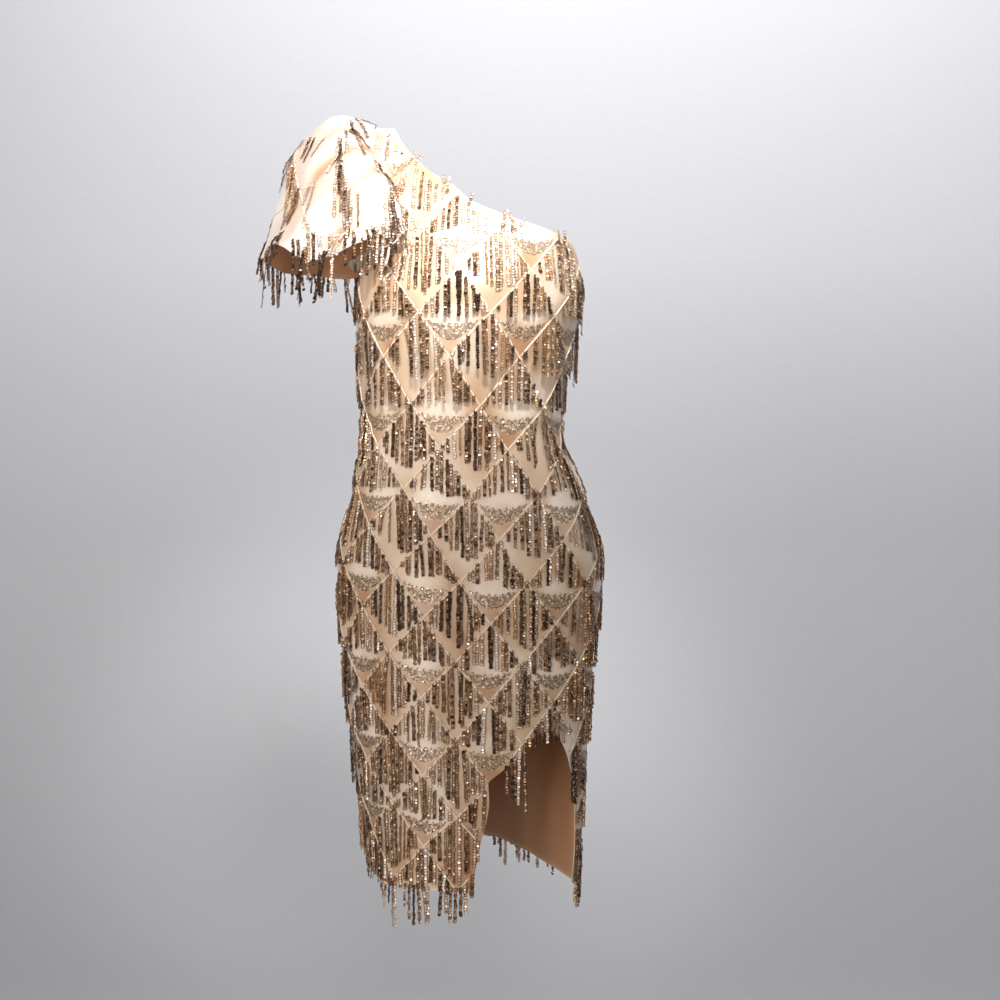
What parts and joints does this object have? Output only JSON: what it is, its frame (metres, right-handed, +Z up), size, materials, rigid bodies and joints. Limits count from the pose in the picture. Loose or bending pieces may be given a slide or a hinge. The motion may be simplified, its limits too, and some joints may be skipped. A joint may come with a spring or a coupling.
{
  "type": "one-shoulder fringed sheath dress",
  "caption": "Fitted one-shoulder dress with a short puffed sleeve, a thigh slit and sequin fringe in a diamond lattice, on a hollow worn form.",
  "frame": {"origin": "underside of the shoulder seam, on the wearer's right shoulder", "axes": "+Z up, -Y to the front of the dress, +X to the wearer's left"},
  "size_m": [0.4133, 0.2689, 0.9271],
  "materials": {
    "satin": "champagne stretch satin",
    "sequins": "strands of rose-gold cup sequins"
  },
  "bodies": {
    "root": {"back": "satin", "fringe_back_01": "sequins", "fringe_back_02": "sequins", "fringe_back_03": "sequins", "fringe_back_04": "sequins", "fringe_back_05": "sequins", "fringe_back_06": "sequins", "fringe_back_07": "sequins", "fringe_back_08": "sequins", "fringe_back_09": "sequins", "fringe_back_10": "sequins", "fringe_back_11": "sequins", "fringe_back_12": "sequins", "fringe_back_13": "sequins", "fringe_back_14": "sequins", "fringe_back_15": "sequins", "fringe_back_16": "sequins", "fringe_front_02": "sequins", "fringe_front_03": "sequins", "fringe_front_04": "sequins", "fringe_front_05": "sequins", "fringe_front_06": "sequins", "fringe_front_07": "sequins", "fringe_front_08": "sequins", "fringe_front_09": "sequins", "fringe_front_10": "sequins", "fringe_front_11": "sequins", "fringe_front_12": "sequins", "fringe_front_13": "sequins", "fringe_front_14": "sequins", "fringe_front_15": "sequins", "fringe_front_16": "sequins", "fringe_hem_back": "sequins", "fringe_hem_front": "sequins", "fringe_neck_back": "sequins", "fringe_neck_front": "sequins", "fringe_sleeve_01": "sequins", "fringe_sleeve_02": "sequins", "fringe_sleeve_03": "sequins", "fringe_sleeve_hem": "sequins", "front": "satin", "sleeve": "satin"}
  },
  "joints": []
}
